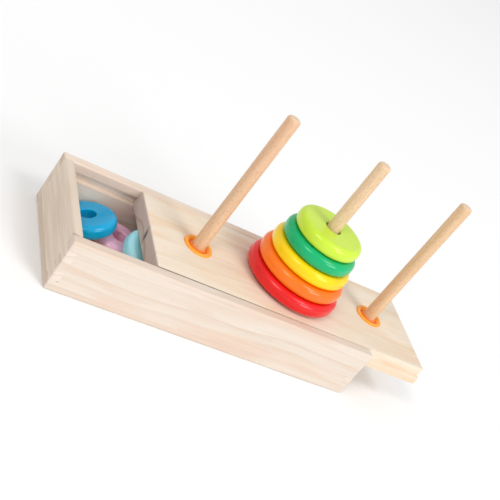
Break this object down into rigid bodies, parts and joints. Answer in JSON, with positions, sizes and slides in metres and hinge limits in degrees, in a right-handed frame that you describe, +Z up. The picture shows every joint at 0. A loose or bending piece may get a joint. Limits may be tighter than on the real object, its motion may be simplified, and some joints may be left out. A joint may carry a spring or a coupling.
{
  "type": "tower of hanoi puzzle",
  "caption": "Tower of Hanoi puzzle: painted wooden rings on lift-out pegs, standing on the thick sliding lid of a finger-jointed pine storage box.",
  "frame": {"origin": "centre of the box's underside", "axes": "+X along the box, the way the lid slides out; +Y across the box, away from the front wall; +Z up along the pegs"},
  "size_m": [0.297, 0.1, 0.157],
  "materials": {
    "pine_side": "sanded, unvarnished, grain along the wall",
    "pine_end_board": "sanded, unvarnished, grain along the board",
    "plywood": "sanded thin plywood",
    "pine_lid": "sanded, unvarnished, grain along the lid",
    "socket_plastic": "moulded, satin gloss",
    "plug_plastic": "moulded, satin gloss",
    "beech_dowel": "turned, sanded",
    "red_paint": "gloss paint on wood",
    "orange_paint": "gloss paint on wood",
    "yellow_paint": "gloss paint on wood",
    "green_paint": "gloss paint on wood",
    "lime_paint": "gloss paint on wood",
    "teal_paint": "gloss paint on wood",
    "blue_paint": "gloss paint on wood",
    "pink_paint": "gloss paint on wood"
  },
  "bodies": {
    "storage_box": {"front_wall": "pine_side", "back_wall": "pine_side", "left_end_wall": "pine_end_board", "right_end_wall": "pine_end_board", "bottom_panel": "plywood"},
    "sliding_lid": {"lid": "pine_lid", "left_socket": "socket_plastic", "centre_socket": "socket_plastic", "right_socket": "socket_plastic"},
    "left_post": {"left_peg": "beech_dowel", "left_plug": "plug_plastic"},
    "centre_post": {"centre_peg": "beech_dowel", "centre_plug": "plug_plastic"},
    "right_post": {"right_peg": "beech_dowel", "right_plug": "plug_plastic"},
    "ring_red": {"red_ring": "red_paint"},
    "ring_orange": {"orange_ring": "orange_paint"},
    "ring_yellow": {"yellow_ring": "yellow_paint"},
    "ring_green": {"green_ring": "green_paint"},
    "ring_lime": {"lime_ring": "lime_paint"},
    "ring_teal": {"teal_ring": "teal_paint"},
    "ring_blue": {"blue_ring": "blue_paint"},
    "ring_pink": {"pink_ring": "pink_paint"}
  },
  "joints": [
    {"name": "lid_slide", "type": "slide", "parent": "storage_box", "child": "sliding_lid", "axis": [1, 0, 0], "range_m": [-0.054, 0.192]},
    {"name": "left_peg_pull", "type": "slide", "parent": "sliding_lid", "child": "left_post", "axis": [0, 0, 1], "range_m": [0, 0.03]},
    {"name": "centre_peg_pull", "type": "slide", "parent": "sliding_lid", "child": "centre_post", "axis": [0, 0, 1], "range_m": [0, 0.03]},
    {"name": "right_peg_pull", "type": "slide", "parent": "sliding_lid", "child": "right_post", "axis": [0, 0, 1], "range_m": [0, 0.03]},
    {"name": "red_ring_lift", "type": "slide", "parent": "centre_post", "child": "ring_red", "axis": [0, 0, 1], "range_m": [0, 0.12]},
    {"name": "orange_ring_lift", "type": "slide", "parent": "ring_red", "child": "ring_orange", "axis": [0, 0, 1], "range_m": [0, 0.11]},
    {"name": "yellow_ring_lift", "type": "slide", "parent": "ring_orange", "child": "ring_yellow", "axis": [0, 0, 1], "range_m": [0, 0.1]},
    {"name": "green_ring_lift", "type": "slide", "parent": "ring_yellow", "child": "ring_green", "axis": [0, 0, 1], "range_m": [0, 0.09]},
    {"name": "lime_ring_lift", "type": "slide", "parent": "ring_green", "child": "ring_lime", "axis": [0, 0, 1], "range_m": [0, 0.08]},
    {"name": "blue_ring_lift", "type": "slide", "parent": "storage_box", "child": "ring_blue", "axis": [0, 0, 1], "range_m": [0, 0.045]},
    {"name": "pink_ring_push", "type": "slide", "parent": "storage_box", "child": "ring_pink", "axis": [1, 0, 0], "range_m": [0, 0.06]},
    {"name": "teal_ring_push", "type": "slide", "parent": "ring_pink", "child": "ring_teal", "axis": [1, 0, 0], "range_m": [0, 0.05]}
  ]
}
